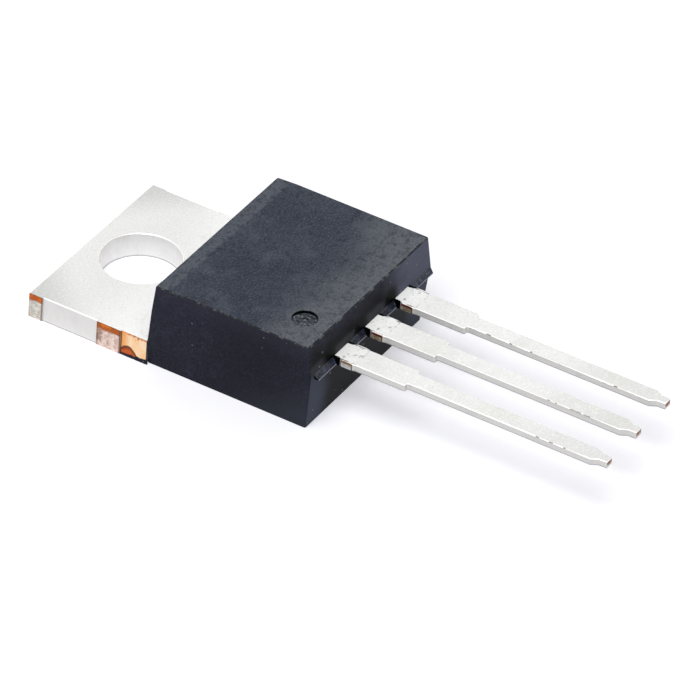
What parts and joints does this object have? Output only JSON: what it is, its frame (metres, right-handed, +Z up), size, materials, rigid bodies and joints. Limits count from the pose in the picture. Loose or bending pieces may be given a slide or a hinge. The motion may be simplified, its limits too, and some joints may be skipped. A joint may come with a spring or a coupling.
{
  "type": "schottky diode",
  "caption": "Through-hole power rectifier: a black moulding on a tinned copper tab with a mounting hole, and flat leads in line, common cathode.",
  "frame": {"origin": "on the axis of the tab's hole, at the mounting face", "axes": "+Z up from the mounting face, +Y from the leads to the tab's free end, +X across the leads"},
  "size_m": [0.0102, 0.0288, 0.0046],
  "materials": {
    "moulded_epoxy": "spark-eroded matt, moulded",
    "tinned_copper": "matt tin plate on stamped copper, bare copper where sheared",
    "soft_solder": "satin, reflowed",
    "metallised_silicon": "polished chip with a metal top",
    "bond_wire": "drawn wire"
  },
  "bodies": {
    "root": {"moulded_body": "moulded_epoxy", "heatsink_tab": "tinned_copper", "left_anode_lead": "tinned_copper", "right_anode_lead": "tinned_copper", "left_solder": "soft_solder", "right_solder": "soft_solder", "left_die": "metallised_silicon", "right_die": "metallised_silicon", "left_outer_wire": "bond_wire", "left_inner_wire": "bond_wire", "right_inner_wire": "bond_wire", "right_outer_wire": "bond_wire"}
  },
  "joints": []
}
